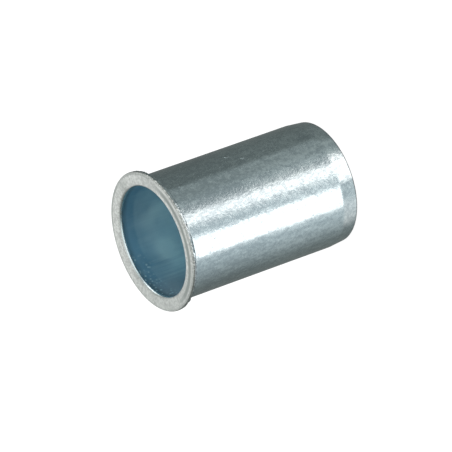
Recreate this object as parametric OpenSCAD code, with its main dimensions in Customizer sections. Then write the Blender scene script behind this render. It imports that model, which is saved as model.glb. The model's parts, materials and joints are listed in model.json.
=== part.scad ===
// Blind rivet nut with a small flat head, a smooth folding chamber and an open threaded tail.
// It stands on its tail, with its axis on Z and the head's face at the top. Millimetres.

/* [Shank] */
// Length from the head's face to the tail
overall_len = 17.5; // [14:0.5:30]
// Outside diameter of the straight shank
shank_d = 11; // [10.5:0.1:14]
// Wall round the smooth chamber, which folds when the nut is set
chamber_wall = 0.65; // [0.4:0.05:0.8]

/* [Head] */
// How far the head stands out past the shank
head_overhang = 0.65; // [0.5:0.05:2]
// Thickness of the head
head_t = 0.6; // [0.5:0.05:2]
// Round on the front edge of the head
head_front_round = 0.2; // [0.05:0.01:0.4]
// Round on the rear edge of the head
head_rear_round = 0.2; // [0.1:0.01:0.25]
// Fillet between the head and the shank
head_fillet = 0.2; // [0.05:0.01:0.3]
// Round on the lip of the chamber's mouth
mouth_round = 0.35; // [0.1:0.05:0.5]

/* [Thread] */
// Nominal diameter of the thread
thread_d = 8; // [5:0.5:9]
// Pitch of the thread
thread_pitch = 1.25; // [0.8:0.05:1.5]
// Length of the threaded end, measured from the tail
thread_len = 8; // [5:0.5:12]
// How far the tail's countersink opens past the thread's nominal diameter, on each side
countersink_over = 0.05; // [0:0.01:0.15]
// Full angle of the cone between the thread and the chamber, in degrees
step_angle = 118; // [60:1:140]

/* [Tail] */
// Length of the cone that leads the tail into its hole
tail_taper_len = 1.5; // [0.6:0.05:8]
// How far that cone draws in, on the radius
tail_draw = 0.15; // [0.02:0.01:0.3]
// Round on the tail's outer edge
tail_round = 0.1; // [0.05:0.01:0.5]

/* [Hidden] */

turn_steps = 128;
cut_past = 1;
overlap = 0.05;

shank_r = shank_d / 2;
head_r = shank_r + head_overhang;
chamber_r = shank_r - chamber_wall;
head_back_z = overall_len - head_t;

// An internal metric thread has crests five eighths of its sharp depth inside the nominal radius.
thread_sharp_depth = thread_pitch * sqrt(3) / 2;
thread_crest_r = thread_d / 2 - thread_sharp_depth * 5 / 8;
countersink_r = thread_d / 2 + countersink_over;
countersink_h = countersink_r - thread_crest_r;
step_h = (chamber_r - thread_crest_r) / tan(step_angle / 2);

// The tail's round is tangent to the end face and to the cone.
taper_angle = atan(tail_draw / tail_taper_len);
taper_at_round = shank_r - tail_draw + tail_round * tan(taper_angle);
tail_round_r = taper_at_round - tail_round / cos(taper_angle);
tail_tangent = [tail_round_r + tail_round * cos(taper_angle), tail_round - tail_round * sin(taper_angle)];

// What a round takes off a square corner whose centre of curvature is the origin.
module corner_waste(r) {
    difference() {
        square(r + overlap);
        circle(r, $fn = turn_steps);
    }
}

// What a fillet adds in an inside corner at the origin, between +X and -Y.
module corner_fill(r) {
    difference() {
        translate([-overlap, -r])
            square([r + overlap, r + overlap]);
        translate([r, -r])
            circle(r, $fn = turn_steps);
    }
}

// Half-section of the shank: round tail edge, lead-in cone, then a straight side up to the head.
module shank_section() {
    polygon([
        [0, 0],
        [tail_round_r, 0],
        tail_tangent,
        [shank_r, tail_taper_len],
        [shank_r, head_back_z + overlap],
        [0, head_back_z + overlap],
    ]);
    translate([tail_round_r, tail_round])
        circle(tail_round, $fn = turn_steps);
}

// Half-section of the head, round on its front and rear edges and filleted to the shank.
module head_section() {
    difference() {
        translate([0, head_back_z])
            square([head_r, head_t]);
        translate([head_r - head_front_round, overall_len - head_front_round])
            corner_waste(head_front_round);
        translate([head_r - head_rear_round, head_back_z + head_rear_round])
            mirror([0, 1])
                corner_waste(head_rear_round);
    }
    translate([shank_r, head_back_z])
        corner_fill(head_fillet);
}

// Half-section of everything that is open: countersink, thread, cone, chamber and rounded mouth.
module bore_section() {
    polygon([
        [0, -cut_past],
        [countersink_r + cut_past, -cut_past],
        [thread_crest_r, countersink_h],
        [thread_crest_r, thread_len],
        [chamber_r, thread_len + step_h],
        [chamber_r, overall_len + cut_past],
        [0, overall_len + cut_past],
    ]);
    translate([chamber_r + mouth_round, overall_len - mouth_round])
        mirror([1, 0])
            corner_waste(mouth_round);
}

module rivet_nut() {
    color([0.66, 0.69, 0.71])
        rotate_extrude($fn = turn_steps)
            difference() {
                union() {
                    shank_section();
                    head_section();
                }
                bore_section();
            }
}

rivet_nut();
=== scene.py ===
"""A plated blind rivet nut with a true internal thread, standing on its tail on a white stage."""
import json
import math

import bpy
import numpy as np
from bpy.props import FloatProperty, FloatVectorProperty, IntProperty, PointerProperty
from mathutils import Matrix, Vector


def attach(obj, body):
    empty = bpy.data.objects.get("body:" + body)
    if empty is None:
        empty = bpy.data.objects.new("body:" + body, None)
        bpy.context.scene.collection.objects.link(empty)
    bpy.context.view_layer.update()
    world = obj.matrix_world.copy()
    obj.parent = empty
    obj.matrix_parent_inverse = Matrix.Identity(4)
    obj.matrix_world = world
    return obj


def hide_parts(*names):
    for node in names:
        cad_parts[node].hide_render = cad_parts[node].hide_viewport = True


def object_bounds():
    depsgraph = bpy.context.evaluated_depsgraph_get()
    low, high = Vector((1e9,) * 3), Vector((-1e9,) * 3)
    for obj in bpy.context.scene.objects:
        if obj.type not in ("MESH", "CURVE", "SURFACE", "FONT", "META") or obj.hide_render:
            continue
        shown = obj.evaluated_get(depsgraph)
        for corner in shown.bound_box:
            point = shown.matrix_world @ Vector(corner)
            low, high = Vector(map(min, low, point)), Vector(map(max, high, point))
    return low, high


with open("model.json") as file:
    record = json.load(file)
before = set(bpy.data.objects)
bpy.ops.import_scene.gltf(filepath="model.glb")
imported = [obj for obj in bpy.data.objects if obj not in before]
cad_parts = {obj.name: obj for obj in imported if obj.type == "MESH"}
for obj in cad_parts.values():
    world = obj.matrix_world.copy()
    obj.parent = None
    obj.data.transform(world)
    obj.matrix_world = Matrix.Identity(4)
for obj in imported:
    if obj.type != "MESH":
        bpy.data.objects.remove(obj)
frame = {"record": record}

bl_info = {
    "name": "Blind Rivet Nut",
    "version": (1, 0, 0),
    "blender": (4, 5, 0),
    "location": "View3D > Sidebar > Rivet Nut",
    "description": "Builds a plated blind rivet nut with a true internal thread, and its stage",
    "category": "Add Mesh",
}

MM = 0.001
NODE = "rivet_nut"
CAD_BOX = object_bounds()
MOUNTS = {mount["name"]: mount for mount in frame["record"]["mounts"]}
BURR_SEED = 11


def wall(name):
    """Radius, low end and high end of a round mount's wall, in metres; the mount's point is its middle."""
    mount = MOUNTS[name]
    radius = mount["dims"]["r_mm"] * MM
    half = mount["dims"]["length_mm"] * MM / 2
    middle = mount["pos_m"][2]
    return radius, middle - half, middle + half


SHANK_R, CONE_TOP, FILLET_LOW = wall("shank")
CHAMBER_R, STEP_HIGH, LIP_LOW = wall("chamber")
CREST_R, COUNTERSINK_HIGH, STEP_LOW = wall("thread")
HEAD_BACK = MOUNTS["head_seat"]["pos_m"][2]
HEAD_R = float(CAD_BOX[1].x)
TOP = float(CAD_BOX[1].z)
LIP = TOP - LIP_LOW


class RivetNutSizes(bpy.types.PropertyGroup):
    """Sizes that the frame's mounts don't give."""

    pitch: FloatProperty(
        name="Thread pitch", description="Axial distance from one thread to the next",
        default=1.25 * MM, unit="LENGTH")
    tail_draw: FloatProperty(
        name="Tail draw", description="How far the tail's cone draws in, on the radius",
        default=0.15 * MM, unit="LENGTH")
    tail_round: FloatProperty(
        name="Tail round", description="Round on the tail's outer edge",
        default=0.1 * MM, unit="LENGTH")
    cone_turn: FloatProperty(
        name="Cone turn", description="Half the length over which the straight side turns into the cone",
        default=0.15 * MM, unit="LENGTH")
    front_round: FloatProperty(
        name="Front round", description="Round on the front edge of the head",
        default=0.2 * MM, unit="LENGTH")
    rear_round: FloatProperty(
        name="Rear round", description="Round on the rear edge of the head",
        default=0.2 * MM, unit="LENGTH")
    burr: FloatProperty(
        name="Rear burr", description="How far the head's rear edge strays along the axis",
        default=0.09 * MM, unit="LENGTH")
    rear_thin: FloatProperty(
        name="Rear thinning", description="How much thinner the head is where it is thinnest",
        default=0.2 * MM, unit="LENGTH")
    thin_side: FloatProperty(
        name="Thin side", description="Angle about the axis, from +X, at which the head is thinnest",
        default=math.radians(202), subtype="ANGLE")
    segments: IntProperty(
        name="Segments", description="Steps round the axis", default=288, min=48)
    rows_per_thread: IntProperty(
        name="Rows per thread", description="Steps along the axis in one pitch", default=24, min=8)


class RivetNutFinish(bpy.types.PropertyGroup):
    """Colours of the plating, and of the shade and highlight painted on it."""

    zinc: FloatVectorProperty(
        name="Zinc", description="Bright zinc with a thin clear passivate, on the shank",
        default=(0.54, 0.65, 0.66), subtype="COLOR", size=3, min=0, max=1)
    zinc_dull: FloatVectorProperty(
        name="Dull zinc", description="The duller patches of the shank's plating",
        default=(0.36, 0.445, 0.465), subtype="COLOR", size=3, min=0, max=1)
    # Painted shade: the colour of the dark line painted along the tail's rounded edge.
    tail_edge_shade: FloatVectorProperty(
        name="Cut edge", description="The dark line along the tail's cut edge",
        default=(0.10, 0.12, 0.125), subtype="COLOR", size=3, min=0, max=1)
    satin: FloatVectorProperty(
        name="Satin zinc", description="The pressed head",
        default=(0.695, 0.727, 0.70), subtype="COLOR", size=3, min=0, max=1)
    # Painted highlight: the bright colour painted along one side of the lip.
    lip_highlight: FloatVectorProperty(
        name="Burnished zinc", description="The bright inner edge of the lip",
        default=(0.57, 0.65, 0.67), subtype="COLOR", size=3, min=0, max=1)
    # Painted shade: the dark satin of a ring on one side of the face, of the head's edges and of its -X
    # side; also the dark lumps on the front edge.
    shaded_satin: FloatVectorProperty(
        name="Worn satin", description="The rubbed ring on one side of the head's face",
        default=(0.272, 0.306, 0.29), subtype="COLOR", size=3, min=0, max=1)
    blue: FloatVectorProperty(
        name="Blue passivate", description="The blue film inside the chamber, near its mouth",
        default=(0.21, 0.42, 0.555), subtype="COLOR", size=3, min=0, max=1)
    # Deep in the chamber this paler colour is partly painted light.
    teal: FloatVectorProperty(
        name="Pale passivate", description="The paler film deep inside the chamber",
        default=(0.62, 0.86, 0.91), subtype="COLOR", size=3, min=0, max=1)
    slate: FloatVectorProperty(
        name="Grey passivate", description="The greyer film along one side of the chamber",
        default=(0.38, 0.43, 0.47), subtype="COLOR", size=3, min=0, max=1)


class RivetNutStage(bpy.types.PropertyGroup):
    """Camera and light."""

    elevation: FloatProperty(
        name="Camera elevation", description="Angle of the camera above the horizon",
        default=math.radians(29.59), subtype="ANGLE")
    roll: FloatProperty(
        name="Camera roll", description="Turn of the camera about its own line of sight",
        default=math.radians(109.70), subtype="ANGLE")
    distance: FloatProperty(
        name="Camera distance", description="From the camera to the point it looks at",
        default=422.6 * MM, unit="LENGTH")
    aim: FloatVectorProperty(
        name="Aim", description="The point that the camera looks at",
        default=(-0.823 * MM, 0.028 * MM, 10.186 * MM), subtype="XYZ", unit="LENGTH", size=3)
    lens: FloatProperty(
        name="Lens", description="Focal length on a 36 mm wide sensor, in millimetres",
        default=398.2)


def arc(centre, radius, start, end, steps=8):
    """Points on a circular arc in the section plane, from one angle to another, in degrees."""
    angle = np.radians(np.linspace(start, end, steps + 1))
    return np.stack([centre[0] + radius * np.cos(angle), centre[1] + radius * np.sin(angle)], 1)


def line(start, end, steps, support=0.012 * MM):
    """Even points from start to end, and one just inside each end, which keeps the edge there crisp."""
    start, end = np.array(start), np.array(end)
    length = np.linalg.norm(end - start)
    near = min(support / length, 0.2)
    share = np.unique(np.concatenate([np.linspace(0, 1, steps + 1), [near, 1 - near]]))
    return start + share[:, None] * (end - start)


def section(sizes):
    """The half-section as named stretches of (radius, height) points, in order round the loop."""
    slope = math.atan2(sizes.tail_draw, CONE_TOP)
    slope_deg = math.degrees(slope)
    tail_r = sizes.tail_round
    round_centre = (SHANK_R - sizes.tail_draw + tail_r * math.tan(slope) - tail_r / math.cos(slope), tail_r)
    fillet = HEAD_BACK - FILLET_LOW
    front, rear = sizes.front_round, sizes.rear_round
    countersink_r = CREST_R + COUNTERSINK_HIGH
    thread_rows = math.ceil(STEP_HIGH / sizes.pitch * sizes.rows_per_thread)
    tail_arc = arc(round_centre, tail_r, -90, -slope_deg)
    turn_r = sizes.cone_turn / math.tan(slope / 2)
    turn_arc = arc((SHANK_R - turn_r, CONE_TOP + sizes.cone_turn), turn_r, -slope_deg, 0)
    fillet_arc = arc((SHANK_R + fillet, FILLET_LOW), fillet, 180, 90)
    rear_arc = arc((HEAD_R - rear, HEAD_BACK + rear), rear, -90, 0)
    front_arc = arc((HEAD_R - front, TOP - front), front, 0, 90)
    lip_arc = arc((CHAMBER_R + LIP, LIP_LOW), LIP, 90, 180, 12)
    heights = np.linspace(STEP_HIGH, 0, thread_rows + 1)
    bore_r = np.interp(heights, [0, COUNTERSINK_HIGH, STEP_LOW, STEP_HIGH],
                       [countersink_r, CREST_R, CREST_R, CHAMBER_R])
    return [
        ("foot", line((countersink_r, 0), (round_centre[0], 0), 3)),
        ("tail_edge", tail_arc),
        ("cone", line(tail_arc[-1], turn_arc[0], 6)),
        ("cone_turn", turn_arc),
        ("shank", line(turn_arc[-1], (SHANK_R, FILLET_LOW), 40)),
        ("fillet", fillet_arc),
        ("head_back", line(fillet_arc[-1], rear_arc[0], 3)),
        ("rear_edge", rear_arc),
        ("rim", line(rear_arc[-1], front_arc[0], 4)),
        ("front_edge", front_arc),
        ("face", line(front_arc[-1], lip_arc[0], 6)),
        ("lip", lip_arc),
        ("chamber", line(lip_arc[-1], (CHAMBER_R, STEP_HIGH), 16)),
        ("thread", np.stack([bore_r, heights], 1)),
    ]


def thread_radius(sizes, height, angle):
    """Radius of the cut thread: flat roots, 30 degree flanks, then the crests.

    The roots are an eighth of the pitch wide. They lie beyond the crests by five eighths of the height
    of the sharp triangle that the flanks would meet in. The thread climbs by one pitch in each turn.
    """
    pitch = sizes.pitch
    sharp = pitch * math.sqrt(3) / 2
    major = CREST_R + sharp * 5 / 8
    from_root = (height - pitch * angle / math.tau + pitch / 2) % pitch - pitch / 2
    flank = (np.abs(from_root) - pitch / 16) / math.tan(math.radians(30))
    return np.clip(major - flank, CREST_R, major)


def burr_wave(angle, amount, rng):
    """A sum of sine waves round the axis, 28 to 67 of them to a turn, that stays within the amount."""
    waves = np.arange(28, 70, 3)
    phase = rng.uniform(0, math.tau, len(waves))
    share = rng.uniform(0.4, 1, len(waves))
    total = (share * np.sin(angle[:, None] * waves + phase)).sum(1)
    return amount * total / np.abs(total).max()


def grid_mesh(name, points, material_rows):
    """A mesh from rows and columns of points, closed both ways; each row of faces has its material."""
    rows, columns = points.shape[:2]
    index = np.arange(rows * columns).reshape(rows, columns)
    across = np.roll(index, -1, 1)
    faces = np.stack([index, across, np.roll(across, -1, 0), np.roll(index, -1, 0)], 2).reshape(-1, 4)
    mesh = bpy.data.meshes.new(name)
    mesh.vertices.add(rows * columns)
    mesh.vertices.foreach_set("co", points.astype(np.float32).ravel())
    mesh.loops.add(faces.size)
    mesh.loops.foreach_set("vertex_index", faces.astype(np.int32).ravel())
    mesh.polygons.add(len(faces))
    mesh.polygons.foreach_set("loop_start", np.arange(0, faces.size, 4, dtype=np.int32))
    mesh.polygons.foreach_set("material_index", np.repeat(material_rows, columns).astype(np.int32))
    mesh.polygons.foreach_set("use_smooth", np.ones(len(faces), bool))
    mesh.update(calc_edges=True)
    return mesh


def nut_points(sizes):
    """The grid of points of the nut and the stretch each row belongs to.

    The section is turned about the axis. Where the bore is narrower than the thread's own radius the
    thread cuts it back, so the threads run out in the countersink and in the step. The head's rear
    edge lies further forward on one side, by a cosine round the axis, and strays by a wave; both fade
    towards the front edge and the fillet.
    """
    stretches = section(sizes)
    names = np.concatenate([[name] * (len(points) - 1) for name, points in stretches])
    profile = np.concatenate([points[:-1] for _, points in stretches])
    angle = np.linspace(0, math.tau, sizes.segments, endpoint=False)
    radius = np.repeat(profile[:, :1], sizes.segments, 1)
    height = np.repeat(profile[:, 1:], sizes.segments, 1)
    in_thread = names == "thread"
    cut = thread_radius(sizes, height[in_thread], angle)
    radius[in_thread] = np.maximum(radius[in_thread], cut)
    rng = np.random.default_rng(BURR_SEED)
    strays = np.isin(names, ["fillet", "head_back", "rear_edge", "rim"])
    outward = np.interp(profile[:, 0], [SHANK_R, HEAD_R - sizes.rear_round], [0, 1])
    upward = np.interp(profile[:, 1], [HEAD_BACK, TOP - sizes.front_round], [1, 0])
    weight = np.where(strays, outward * upward, 0)[:, None]
    thinner = sizes.rear_thin * (1 + np.cos(angle - sizes.thin_side)) / 2
    height += weight * (thinner + burr_wave(angle, sizes.burr, rng))
    inward = np.abs(burr_wave(angle, sizes.burr, rng))
    radius -= weight * inward
    points = np.stack([radius * np.cos(angle), radius * np.sin(angle), height], 2)
    return points, names


class Nodes:
    """Makes nodes and links in one tree."""

    def __init__(self, tree):
        self.tree = tree

    def put(self, socket, value):
        """Links a socket from another one, or sets its value; a colour comes without its alpha."""
        if isinstance(value, bpy.types.NodeSocket):
            self.tree.links.new(value, socket)
        elif socket.type == "RGBA":
            socket.default_value = (*value, 1.0)
        else:
            socket.default_value = value

    def add(self, kind, inputs=None, **settings):
        """A node with its settings; each input is a value, or a socket to link from."""
        node = self.tree.nodes.new(kind)
        for key, value in settings.items():
            setattr(node, key, value)
        for key, value in (inputs or {}).items():
            self.put(node.inputs[key], value)
        return node

    def math(self, operation, *values, clamp=False):
        """The result of a Math node."""
        node = self.add("ShaderNodeMath", dict(enumerate(values)), operation=operation, use_clamp=clamp)
        return node.outputs[0]

    def product(self, total, *others):
        """All the values multiplied together."""
        for other in others:
            total = self.math("MULTIPLY", total, other)
        return total

    def most(self, total, *others):
        """The largest of the values."""
        for other in others:
            total = self.math("MAXIMUM", total, other)
        return total

    def add_part(self, total, pattern, amount):
        """A total and an amount of a pattern, added."""
        return self.math("MULTIPLY_ADD", pattern, amount, total)

    def stray(self, total, pattern, amount, clamp=False):
        """A total that a pattern moves both ways about the pattern's middle, one half."""
        return self.math("MULTIPLY_ADD", self.math("SUBTRACT", pattern, 0.5), amount, total, clamp=clamp)

    def ramp(self, value, low, high, to=(0.0, 1.0)):
        """A smooth step: the range low to high carried to another range, and held at its ends."""
        limits = {"From Min": low, "From Max": high, "To Min": to[0], "To Max": to[1]}
        node = self.add("ShaderNodeMapRange", {"Value": value, **limits}, interpolation_type="SMOOTHSTEP")
        return node.outputs["Result"]

    def noise(self, place, scale, detail, roughness=0.5):
        """Noise about one half; the scale is in lumps to a metre."""
        values = {"Vector": place, "Scale": scale, "Detail": detail, "Roughness": roughness}
        return self.add("ShaderNodeTexNoise", values).outputs["Fac"]

    def mix(self, share, first, second):
        """Two colours mixed."""
        return self.add("ShaderNodeMix", {0: share, 6: first, 7: second}, data_type="RGBA").outputs[2]


def new_group(name, inputs, outputs):
    """An empty shader node group with float or vector inputs and float outputs, and its nodes."""
    group = bpy.data.node_groups.new(name, "ShaderNodeTree")
    for label, kind in inputs:
        group.interface.new_socket(label, in_out="INPUT", socket_type=kind)
    for label in outputs:
        group.interface.new_socket(label, in_out="OUTPUT", socket_type="NodeSocketFloat")
    return group, Nodes(group)


def plating_group():
    """Plating grain: soft mottle, fine grain and scattered specks, each from noise at its own size."""
    group, nodes = new_group(
        "Plating Grain",
        [("Vector", "NodeSocketVector"), ("Size", "NodeSocketFloat")],
        ["Mottle", "Grain", "Specks"])
    start = nodes.add("NodeGroupInput").outputs
    place = start["Vector"]
    scale = nodes.math("DIVIDE", 1.0, start["Size"])
    mottle = nodes.noise(place, scale, 3.0, roughness=0.6)
    grain = nodes.noise(place, nodes.math("MULTIPLY", scale, 2.7), 2.0)
    specks = nodes.noise(place, nodes.math("MULTIPLY", scale, 1.3), 1.0)
    nodes.add("NodeGroupOutput", {
        "Mottle": nodes.ramp(mottle, 0.3, 0.7),
        "Grain": grain,
        "Specks": nodes.ramp(specks, 0.64, 0.72)})
    return group


class PlatedMetal(Nodes):
    """The nodes of one finish, with the place on the nut and the plating grain that its patterns read."""

    def __init__(self, name, group, grain_size):
        self.material = bpy.data.materials.new(name)
        self.material.use_nodes = True
        super().__init__(self.material.node_tree)
        self.place = self.add("ShaderNodeTexCoord").outputs["Object"]
        self.x, self.y, self.z = self.add("ShaderNodeSeparateXYZ", {"Vector": self.place}).outputs
        grain = self.add("ShaderNodeGroup", {"Vector": self.place, "Size": grain_size}, node_tree=group)
        self.mottle, self.grain, self.specks = grain.outputs

    def from_axis(self):
        """Distance from the axis: the root of X squared plus Y squared."""
        square = self.math("MULTIPLY_ADD", self.x, self.x, self.math("MULTIPLY", self.y, self.y))
        return self.math("SQRT", square)

    def towards(self, side):
        """How far a place lies towards a side: X and Y times the two parts of its direction, added."""
        return self.math("MULTIPLY_ADD", self.x, side[0], self.math("MULTIPLY", self.y, side[1]))

    def lumps(self, scale, detail):
        """Noise that is alike every way; the scale is in lumps to a metre."""
        return self.noise(self.place, scale, detail)

    def drawn_lumps(self, across, along, detail):
        """Noise that is drawn out along the axis: its scale across the axis, and its scale along it."""
        drawn = self.add("ShaderNodeMapping", {"Vector": self.place, "Scale": (across, across, along)})
        return self.noise(drawn.outputs[0], 1.0, detail)

    def band(self, value, middle, reach, core):
        """One where a value lies within a core distance of its middle, and nothing beyond a reach."""
        away = self.math("ABSOLUTE", self.math("SUBTRACT", value, middle))
        return self.ramp(away, reach, core)

    def add_spots(self, spots, total=0.0):
        """A total and soft round spots, added: one at a spot's place and nothing beyond its reach."""
        for spot, reach, amount in spots:
            centre = tuple(c * MM for c in spot)
            away = self.add("ShaderNodeVectorMath", {0: self.place, 1: centre}, operation="DISTANCE")
            mask = self.ramp(away.outputs["Value"], reach * MM, reach * SPOT_CORE * MM)
            total = self.add_part(total, mask, amount)
        return total

    def dress(self, colour, rough, heights, metallic=1.0):
        """The material with its colour and roughness, and a bump of patterns with heights in millimetres."""
        shader = self.tree.nodes["Principled BSDF"]
        total = 0.0
        for pattern, height in heights:
            total = self.add_part(total, pattern, height)
        bump = self.add("ShaderNodeBump", {"Height": total, "Strength": 1.0, "Distance": MM})
        self.put(shader.inputs["Base Color"], colour)
        self.put(shader.inputs["Metallic"], metallic)
        self.put(shader.inputs["Roughness"], rough)
        self.put(shader.inputs["Normal"], bump.outputs[0])
        return self.material


def darker(colour, share):
    """A share of a colour."""
    return tuple(part * share for part in colour)


# Marks of this one nut, and spots of painted shade. Each spot has its place and its reach in millimetres,
# and
# then its amount: how dull, dark, bright or pale it makes the metal, or for a ding its depth in millimetres.
# A spot is full within the core share of its reach.
SPOT_CORE = 0.15
DULL_SPOTS = (((4.0, -3.8, 2.35), 1.1, 0.5), ((1.7, -5.23, 13.3), 2.0, 0.35))
DINGS = (((4.64, -2.96, 9.64), 0.25, 0.045), ((4.14, -3.63, 8.58), 0.25, 0.033),
         ((3.55, -4.2, 15.4), 0.25, 0.033))
# Darker spots on the head's face, partly painted shade.
DARK_FACE_SPOTS = (((5.2, 1.4, 17.5), 1.3, 0.35), ((-2.4, 4.2, 17.4), 0.9, 0.3),
                ((4.7, -2.7, 17.5), 1.7, 0.15))
# A spot of painted shade that dims the lip's painted highlight.
LIP_SHADE_SPOTS = (((-1.75, 4.45, 17.3), 1.5, -0.8),)
PALE_SPOTS = (((1.85, 4.45, 14.7), 1.2, 0.38), ((-0.85, 4.77, 13.8), 1.5, 0.38),
              ((2.6, 4.1, 13.7), 1.2, 0.38))

# Sides of the nut that a mark favours: the X and Y parts of the direction from the axis.
MOTTLED_SIDE = (0.17, -0.985)
ROUGH_SIDE = (0.242, -0.97)
# The side on which the ring of painted shade lies.
RING_SHADE_SIDE = (-0.26, -0.97)
NEAR_SIDE = (0.225, -0.974)
FAR_SIDE = (0.707, 0.707)


def shank_dullness(metal):
    """How dull the shank is: mottle, fine grain, a rise towards the head, two spots and blotches."""
    patch = metal.ramp(metal.towards(MOTTLED_SIDE), 4.6 * MM, 5.3 * MM, to=(-0.7, -1.0))
    fine = metal.ramp(metal.x, 2.5 * MM, 4.2 * MM, to=(1.1, 4.2))
    dull = metal.stray(0.48, metal.mottle, patch)
    dull = metal.stray(dull, metal.grain, fine)
    dull = metal.math("ADD", dull, metal.ramp(metal.z, 7.5 * MM, 11.5 * MM, to=(-0.04, 0.3)))
    dull = metal.add_spots(DULL_SPOTS, dull)
    return metal.stray(dull, metal.drawn_lumps(2600, 1300, 3.0), 2.3, clamp=True)


def shank_painted_shade(metal, lumps, rim):
    """Painted shade on the outside: a dark line along the tail's cut edge, and dark lumps on the head's rim
    on one side.
    """
    # Painted shade: a dark line along the tail's rounded edge.
    tail_edge_shade = metal.product(
        metal.ramp(metal.z, 0.17 * MM, 0.07 * MM, to=(0.0, 0.75)),
        metal.ramp(metal.from_axis(), SHANK_R - 0.28 * MM, SHANK_R - 0.22 * MM))
    # Painted shade on the head's rim, in lumps and in a band, strongest towards -X.
    dark_lumps = metal.most(
        metal.ramp(lumps, 0.46, 0.6, to=(0.0, 0.55)),
        metal.ramp(metal.z, TOP - 0.34 * MM, TOP - 0.22 * MM, to=(0.0, 0.25)))
    rim_shade_side = metal.ramp(metal.x, 0.3 * MM, 1.6 * MM, to=(1.0, 0.25))
    return metal.most(tail_edge_shade, metal.product(dark_lumps, rim, rim_shade_side))


def zinc_shank(finish, group):
    """Bright zinc on everything outside, with mottle, drawing lines, slow waves, dings and a rough rim, and
    painted shade along the tail's edge and on the rim.
    """
    metal = PlatedMetal("zinc_shank", group, 0.26 * MM)
    rim = metal.ramp(metal.z, HEAD_BACK - 0.1 * MM, HEAD_BACK + 0.1 * MM)
    lumps = metal.lumps(2200.0, 2.0)
    zinc = metal.mix(shank_dullness(metal), finish.zinc, finish.zinc_dull)
    colour = metal.mix(shank_painted_shade(metal, lumps, rim), zinc, finish.tail_edge_shade)
    rough = metal.add_part(0.21, metal.mottle, -0.05)
    rough = metal.add_part(rough, metal.specks, 0.15)
    rough_patch = metal.ramp(metal.towards(ROUGH_SIDE), 4.9 * MM, 5.35 * MM, to=(0.2, 1.0))
    uneven = metal.product(metal.math("ADD", metal.mottle, metal.grain), rough_patch)
    drawing_lines = metal.drawn_lumps(5000, 350, 2.0)
    slow_waves = metal.lumps(420.0, 1.0)
    return metal.dress(colour, rough, [
        (uneven, 0.005),
        (drawing_lines, 0.002),
        (slow_waves, 0.02),
        (metal.product(lumps, rim), 0.08),
        (metal.add_spots(DINGS), 1.0)])


def head_shade_and_marks(metal, radius, near, lumps):
    """How much darker the head is: painted shade in a ring on one side, along stretches of the edge and on
    the -X side; darker spots, and dark lumps on the front edge.
    """
    # Painted shade: a darker ring on one side of the face.
    ring = metal.product(
        metal.band(radius, HEAD_R - 0.52 * MM, 0.3 * MM, 0.08 * MM),
        metal.ramp(metal.towards(RING_SHADE_SIDE), 1.2 * MM, 4.2 * MM))
    # Painted shade: a dark line along the edge, away from the near side.
    edge = metal.product(
        metal.band(radius, HEAD_R - 0.17 * MM, 0.12 * MM, 0.02 * MM),
        metal.ramp(near, 4.7 * MM, 4.1 * MM, to=(0.0, 0.55)))
    # Painted shade: the outer band of the face darkened on the far side.
    far_share = metal.add_part(
        metal.ramp(metal.y, 0.0, 3 * MM, to=(0.0, 0.4)),
        metal.ramp(metal.towards(FAR_SIDE), 5.0 * MM, 5.7 * MM), 0.25)
    far_edge_shade = metal.product(far_share, metal.ramp(radius, HEAD_R - 0.39 * MM, HEAD_R - 0.29 * MM))
    # Painted shade darkening the -X side, and darker spots.
    spots = metal.add_spots(DARK_FACE_SPOTS, metal.ramp(metal.x, -1.5 * MM, -5 * MM, to=(0.0, 0.28)))
    # Dark lumps on the outer part of the front edge.
    dark_lumps = metal.product(
        metal.ramp(metal.z, TOP - 0.06 * MM, TOP - 0.12 * MM),
        metal.ramp(radius, HEAD_R - 0.35 * MM, HEAD_R - 0.25 * MM),
        metal.ramp(lumps, 0.42, 0.58, to=(0.15, 0.85)))
    return metal.most(ring, edge, far_edge_shade, spots, dark_lumps)


def lip_highlight_colour(metal, finish):
    """The lip's zinc, with a painted highlight along one side of the mouth, dimmed at one spot by painted
    shade.
    """
    # Painted highlight along one side of the lip.
    bright = metal.product(
        metal.ramp(metal.x, 1.5 * MM, 0.2 * MM),
        metal.ramp(metal.x, -4.8 * MM, -3.4 * MM, to=(0.3, 1.0)))
    # Painted shade dims it at one spot.
    bright = metal.add_spots(LIP_SHADE_SPOTS, bright)
    return metal.mix(bright, darker(finish.zinc, 0.9), finish.lip_highlight)


def edge_glint(metal, radius, near, lumps):
    """A broken bright line along the head's front edge, on the near side."""
    return metal.product(
        metal.ramp(metal.z, TOP - 0.11 * MM, TOP - 0.06 * MM),
        metal.ramp(radius, HEAD_R - 0.23 * MM, HEAD_R - 0.13 * MM),
        metal.ramp(near, 4.4 * MM, 5.6 * MM, to=(0.0, 0.9)),
        metal.ramp(lumps, 0.44, 0.6, to=(1.0, 0.2)))


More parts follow.
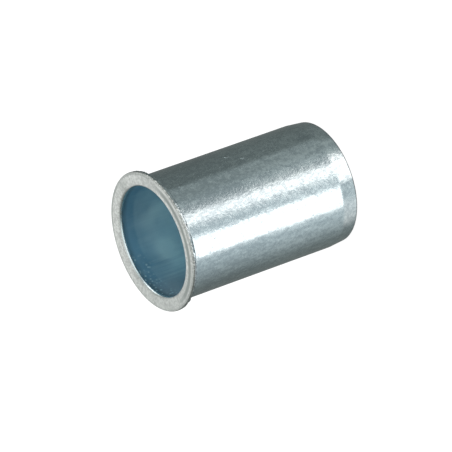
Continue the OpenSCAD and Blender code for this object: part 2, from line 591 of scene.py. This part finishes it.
def satin_head(finish, group):
    """Pressed satin zinc on the face: an even grain, painted shade and darker spots, a painted highlight on
    the lip, a painted glint and a rough front edge.
    """
    metal = PlatedMetal("satin_head", group, 0.2 * MM)
    radius = metal.from_axis()
    near = metal.towards(NEAR_SIDE)
    lumps = metal.lumps(3800.0, 2.0)
    lip = metal.product(
        metal.ramp(metal.z, TOP - LIP * 0.27, TOP - LIP * 0.53),
        metal.ramp(radius, CHAMBER_R + LIP * 1.1, CHAMBER_R + LIP * 0.67))
    satin = metal.mix(metal.mottle, darker(finish.satin, 0.66), finish.satin)
    colour = metal.mix(head_shade_and_marks(metal, radius, near, lumps), satin, finish.shaded_satin)
    colour = metal.mix(lip, colour, lip_highlight_colour(metal, finish))
    colour = metal.mix(edge_glint(metal, radius, near, lumps), colour, darker(finish.satin, 0.88))
    rough = metal.add_part(0.4, metal.mottle, -0.08)
    rough = metal.add_part(rough, lip, -0.14)
    rough_edge = metal.product(
        metal.ramp(metal.z, TOP - 0.03 * MM, TOP - 0.09 * MM),
        metal.ramp(near, 3.6 * MM, 5.0 * MM),
        metal.ramp(radius, HEAD_R - 0.25 * MM, HEAD_R - 0.15 * MM))
    return metal.dress(colour, rough, [
        (metal.grain, 0.01),
        (metal.product(lumps, rough_edge), 0.12)])


def bore_light_and_paleness(metal):
    """How pale the film is: paler with depth and past a step, which is painted light for a brighter deep
    wall; paler in three spots and in clouds, and streaked along one side.
    """
    # Painted light: paler with depth, and past a step at 1.3 to 1.7 mm below the top.
    pale = metal.ramp(metal.z, TOP - 0.6 * MM, TOP - 4.5 * MM, to=(0.0, 0.44))
    pale = metal.math("ADD", pale, metal.ramp(metal.z, TOP - 1.3 * MM, TOP - 1.7 * MM, to=(0.0, 0.22)))
    pale = metal.add_spots(PALE_SPOTS, pale)
    pale = metal.stray(pale, metal.lumps(380.0, 2.0), 1.0)
    streaked_side = metal.product(
        metal.ramp(metal.x, -0.8 * MM, -1.8 * MM),
        metal.ramp(metal.x, -4 * MM, -3 * MM))
    streaks = metal.drawn_lumps(3600, 240, 2.0)
    return metal.stray(pale, streaks, metal.add_part(0.25, streaked_side, 0.5), clamp=True)


def bore_dots(metal):
    """Round pale dots near the lip on one side: the middles of some of the cells that fill the space."""
    cells = metal.add("ShaderNodeTexVoronoi", {"Vector": metal.place, "Scale": 3300.0}).outputs
    chosen = metal.add("ShaderNodeSeparateColor", {"Color": cells["Color"]}).outputs["Red"]
    return metal.product(
        metal.ramp(cells["Distance"], 0.46, 0.22),
        metal.ramp(chosen, 0.25, 0.6),
        metal.ramp(metal.x, -0.3 * MM, -1.5 * MM),
        metal.ramp(metal.z, TOP - 1.9 * MM, TOP - 1.3 * MM, to=(0.0, 0.75)))


def blue_bore(finish, group):
    """Blue passivated zinc inside: paler with depth, partly by painted light, greyer on one side, and
    darkened by painted shade and dotted by the lip.
    """
    metal = PlatedMetal("blue_bore", group, 0.3 * MM)
    grey_side = metal.ramp(metal.x, -2.5 * MM, -4.5 * MM, to=(0.0, 0.6))
    # Painted shade: darker just inside the mouth, more so towards -X.
    mouth_shade = metal.add_part(
        metal.ramp(metal.z, TOP - 0.9 * MM, TOP - 0.35 * MM, to=(0.0, 0.5)),
        metal.ramp(metal.x, -2.0 * MM, -4.0 * MM, to=(0.0, 0.3)),
        metal.ramp(metal.z, TOP - 1.5 * MM, TOP - 0.5 * MM))
    colour = metal.mix(bore_light_and_paleness(metal), finish.blue, finish.teal)
    colour = metal.mix(grey_side, colour, finish.slate)
    colour = metal.mix(mouth_shade, colour, darker(finish.blue, 0.3))
    colour = metal.mix(bore_dots(metal), colour, finish.teal)
    rough = metal.add_part(0.48, metal.mottle, -0.1)
    return metal.dress(colour, rough, [(metal.grain, 0.006)], metallic=0.8)


BORE_STRETCHES = ["chamber", "thread"]
HEAD_STRETCHES = ["front_edge", "face", "lip"]


class RIVETNUT_OT_build_nut(bpy.types.Operator):
    """Turns the nut's section into one mesh, cuts its thread and gives it its three finishes"""

    bl_idname = "rivetnut.build_nut"
    bl_label = "Build Nut"

    def execute(self, context):
        """Makes the nut in place of the frame's plain solid."""
        scene = context.scene
        points, names = nut_points(scene.rivet_nut_sizes)
        slots = np.select([np.isin(names, HEAD_STRETCHES), np.isin(names, BORE_STRETCHES)], [1, 2], 0)
        mesh = grid_mesh("nut", points, slots)
        grain = plating_group()
        for make in (zinc_shank, satin_head, blue_bore):
            mesh.materials.append(make(scene.rivet_nut_finish, grain))
        nut = bpy.data.objects.new("nut", mesh)
        scene.collection.objects.link(nut)
        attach(nut, "root")
        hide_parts(NODE)
        return {"FINISHED"}


# The dim room that the nut stands in, and the tints of its light boxes.
ROOM_LIGHT = (0.184, 0.199, 0.194)
TINTS = {"plain": (1.0, 1.0, 1.0), "warm": (1.0, 0.84, 0.81), "cool": (0.98, 1.0, 1.06)}
# A light box's six measures, in degrees: its centre's azimuth, half its width and how soft its sides
# are, then its low and high elevation and how they fade.
BOX_MEASURES = ("Centre", "Half Width", "Soft", "Low", "High", "Fade")
# Each light box: its level, its six measures and its tint.
SOFTBOXES = {
    "window_glow": (0.79, 239.5, 57, 50, -36, -14, 4, "cool"),
    "window_low": (0.6, 240, 55, 50, -56, -36, 4, "cool"),
    "key_strip": (2.8, 232.8, 18, 3, -33, -19, 2.5, "warm"),
    "fill_strip": (1.85, 284.7, 9.2, 4.5, -36, -12, 3, "warm"),
    "fill_low": (2.1, 283.5, 27, 4, -56, -36, 3, "warm"),
    "glow_low": (0.53, 191, 26, 10, -56, -36, 4, "warm"),
    "grey_panel": (0.185, 329, 22, 3, -56, -12, 6, "plain"),
    "cool_strip": (0.05, 344, 7, 1.5, -36, -12, 3, "cool"),
    "cone_glow": (0.105, 340, 60, 20, -60, -37, 4, "plain"),
    "under_glow": (0.045, 160, 40, 25, -56, -12, 6, "plain"),
    "dim_panel": (0.045, 8, 20, 16, -36, -12, 3, "plain"),
    "ceiling": (0.73, 0, 400, 10, 38, 90, 12, "plain"),
    "front_wall": (1.37, 270, 55, 18, 2, 34, 8, "plain"),
    "side_lamp": (2.2, 0, 22, 8, -6, 22, 8, "plain"),
}
# The white backdrop behind the nut, by the same six measures.
BACKDROP = (86, 46, 18, 0, 46, 12)
WHITE = (1.0, 1.0, 1.0)


def softbox_group():
    """How much of a light box lies in a direction: a soft rectangle in azimuth and elevation."""
    labels = ("Azimuth", "Elevation", *BOX_MEASURES)
    group, nodes = new_group("Softbox", [(label, "NodeSocketFloat") for label in labels], ["Mask"])
    start = nodes.add("NodeGroupInput").outputs
    away = nodes.math("SUBTRACT", start["Azimuth"], start["Centre"])
    away = nodes.math("ABSOLUTE", nodes.math("WRAP", away, 180.0, -180.0))
    edges = (
        (start["Half Width"], away, start["Soft"]),
        (start["Elevation"], start["Low"], start["Fade"]),
        (start["High"], start["Elevation"], start["Fade"]))
    masks = []
    for upper, lower, soft in edges:
        inside = nodes.math("SUBTRACT", upper, lower)
        masks.append(nodes.ramp(inside, nodes.math("MULTIPLY", soft, -1.0), soft))
    nodes.add("NodeGroupOutput", {"Mask": nodes.product(*masks)})
    return group


def softbox(nodes, group, azimuth, elevation, measures):
    """The mask of one light box with its six measures, in a direction."""
    values = {"Azimuth": azimuth, "Elevation": elevation}
    values.update(zip(BOX_MEASURES, measures))
    return nodes.add("ShaderNodeGroup", values, node_tree=group).outputs["Mask"]


def studio_world(scene):
    """White to the camera, and in the metal where the backdrop stands; else a room with light boxes."""
    world = bpy.data.worlds.new("studio")
    scene.world = world
    world.use_nodes = True
    world.node_tree.nodes.clear()
    nodes = Nodes(world.node_tree)
    direction = nodes.add("ShaderNodeTexCoord").outputs["Generated"]
    x, y, z = nodes.add("ShaderNodeSeparateXYZ", {"Vector": direction}).outputs
    azimuth = nodes.math("DEGREES", nodes.math("ARCTAN2", y, x))
    elevation = nodes.math("DEGREES", nodes.math("ARCSINE", z))
    group = softbox_group()
    light = ROOM_LIGHT
    for level, *measures, tint in SOFTBOXES.values():
        mask = softbox(nodes, group, azimuth, elevation, measures)
        parts = {0: mask, 1: darker(TINTS[tint], level), 2: light}
        light = nodes.add("ShaderNodeVectorMath", parts, operation="MULTIPLY_ADD").outputs[0]
    studio = nodes.add("ShaderNodeBackground", {"Color": light, "Strength": 1.0})
    white = nodes.add("ShaderNodeBackground", {"Color": WHITE, "Strength": 1.0})
    ray = nodes.add("ShaderNodeLightPath").outputs
    mirrored = nodes.math("MAXIMUM", ray["Is Glossy Ray"], ray["Is Transmission Ray"])
    mirrored = nodes.math("MULTIPLY", mirrored, softbox(nodes, group, azimuth, elevation, BACKDROP))
    seen = nodes.math("MAXIMUM", ray["Is Camera Ray"], mirrored)
    mixed = nodes.add("ShaderNodeMixShader", {0: seen, 1: studio.outputs[0], 2: white.outputs[0]})
    nodes.add("ShaderNodeOutputWorld", {"Surface": mixed.outputs[0]})


FLOOR_HALF = 2.0
FLOOR_DROP = 0.02 * MM
FLOOR_PAINT = (0.8, 0.8, 0.8)
FLOOR_SHADOW = (0.22, 0.22, 0.22)
FLOOR_GLOW = 0.86


def white_floor(scene):
    """A wide flat floor just below the foot; its own glow is most of the white that the camera sees.

    A thin share of paint on top of the glow keeps a faint shadow. Other rays see plain white paint.
    """
    corners = FLOOR_HALF * np.array([(-1, -1, 0), (1, -1, 0), (1, 1, 0), (-1, 1, 0)])
    corners[:, 2] -= FLOOR_DROP
    mesh = bpy.data.meshes.new("floor")
    mesh.from_pydata(corners.tolist(), [], [(0, 1, 2, 3)])
    floor = bpy.data.objects.new("floor", mesh)
    scene.collection.objects.link(floor)
    material = bpy.data.materials.new("white_floor")
    material.use_nodes = True
    material.node_tree.nodes.clear()
    nodes = Nodes(material.node_tree)
    paint = nodes.add("ShaderNodeBsdfDiffuse", {"Color": FLOOR_PAINT})
    thin = nodes.add("ShaderNodeBsdfDiffuse", {"Color": FLOOR_SHADOW})
    glow = nodes.add("ShaderNodeEmission", {"Color": WHITE, "Strength": FLOOR_GLOW})
    shown = nodes.add("ShaderNodeAddShader", {0: thin.outputs[0], 1: glow.outputs[0]})
    seen = nodes.add("ShaderNodeLightPath").outputs["Is Camera Ray"]
    mixed = nodes.add("ShaderNodeMixShader", {0: seen, 1: paint.outputs[0], 2: shown.outputs[0]})
    nodes.add("ShaderNodeOutputMaterial", {"Surface": mixed.outputs[0]})
    mesh.materials.append(material)
    floor.visible_glossy = False


def overhead_lamp(scene):
    """One large soft lamp overhead, for the floor's light and shadow."""
    lamp = bpy.data.lights.new("overhead", "AREA")
    lamp.shape = "DISK"
    lamp.size = 0.4
    lamp.energy = 2.2
    holder = bpy.data.objects.new("overhead", lamp)
    holder.location = (0.05, -0.05, 0.6)
    holder.visible_glossy = False
    scene.collection.objects.link(holder)
    holder.rotation_euler = (-holder.location).to_track_quat("-Z", "Y").to_euler()


def photo_camera(scene, stage):
    """A long lens above the head's side of the nut, rolled so that the head points down and to the left."""
    camera = bpy.data.cameras.new("camera")
    camera.lens = stage.lens
    camera.sensor_width = 36
    camera.clip_start = 0.01
    camera.clip_end = 10
    holder = bpy.data.objects.new("camera", camera)
    scene.collection.objects.link(holder)
    back = Vector((0, -math.cos(stage.elevation), math.sin(stage.elevation)))
    turn = (-back).to_track_quat("-Z", "Y").to_matrix().to_4x4()
    spin = Matrix.Rotation(-stage.roll, 4, "Z")
    place = Matrix.Translation(Vector(stage.aim) + back * stage.distance)
    holder.matrix_world = place @ turn @ spin
    scene.camera = holder


class RIVETNUT_OT_build_stage(bpy.types.Operator):
    """Makes the white floor, the light and the camera"""

    bl_idname = "rivetnut.build_stage"
    bl_label = "Build Stage"

    def execute(self, context):
        """Makes the stage round the nut."""
        scene = context.scene
        scene.view_settings.view_transform = "Standard"
        studio_world(scene)
        white_floor(scene)
        overhead_lamp(scene)
        photo_camera(scene, scene.rivet_nut_stage)
        return {"FINISHED"}


class RIVETNUT_PT_panel(bpy.types.Panel):
    """Lists the nut's sizes, colours and steps"""

    bl_label = "Rivet Nut"
    bl_idname = "RIVETNUT_PT_panel"
    bl_space_type = "VIEW_3D"
    bl_region_type = "UI"
    bl_category = "Rivet Nut"

    def draw(self, context):
        """One column of values, then the buttons."""
        column = self.layout.column()
        scene = context.scene
        for group in (scene.rivet_nut_sizes, scene.rivet_nut_finish, scene.rivet_nut_stage):
            for name in group.__annotations__:
                column.prop(group, name)
        column.operator(RIVETNUT_OT_build_nut.bl_idname)
        column.operator(RIVETNUT_OT_build_stage.bl_idname)


CLASSES = (RivetNutSizes, RivetNutFinish, RivetNutStage,
           RIVETNUT_OT_build_nut, RIVETNUT_OT_build_stage, RIVETNUT_PT_panel)


def register():
    """Adds the classes and the scene's three groups of values."""
    for cls in CLASSES:
        bpy.utils.register_class(cls)
    bpy.types.Scene.rivet_nut_sizes = PointerProperty(type=RivetNutSizes)
    bpy.types.Scene.rivet_nut_finish = PointerProperty(type=RivetNutFinish)
    bpy.types.Scene.rivet_nut_stage = PointerProperty(type=RivetNutStage)


def unregister():
    """Takes them away again."""
    del bpy.types.Scene.rivet_nut_stage
    del bpy.types.Scene.rivet_nut_finish
    del bpy.types.Scene.rivet_nut_sizes
    for cls in reversed(CLASSES):
        bpy.utils.unregister_class(cls)


def main():
    """Builds the nut and its stage."""
    register()
    bpy.ops.rivetnut.build_nut()
    bpy.ops.rivetnut.build_stage()


if __name__ == "__main__":
    main()
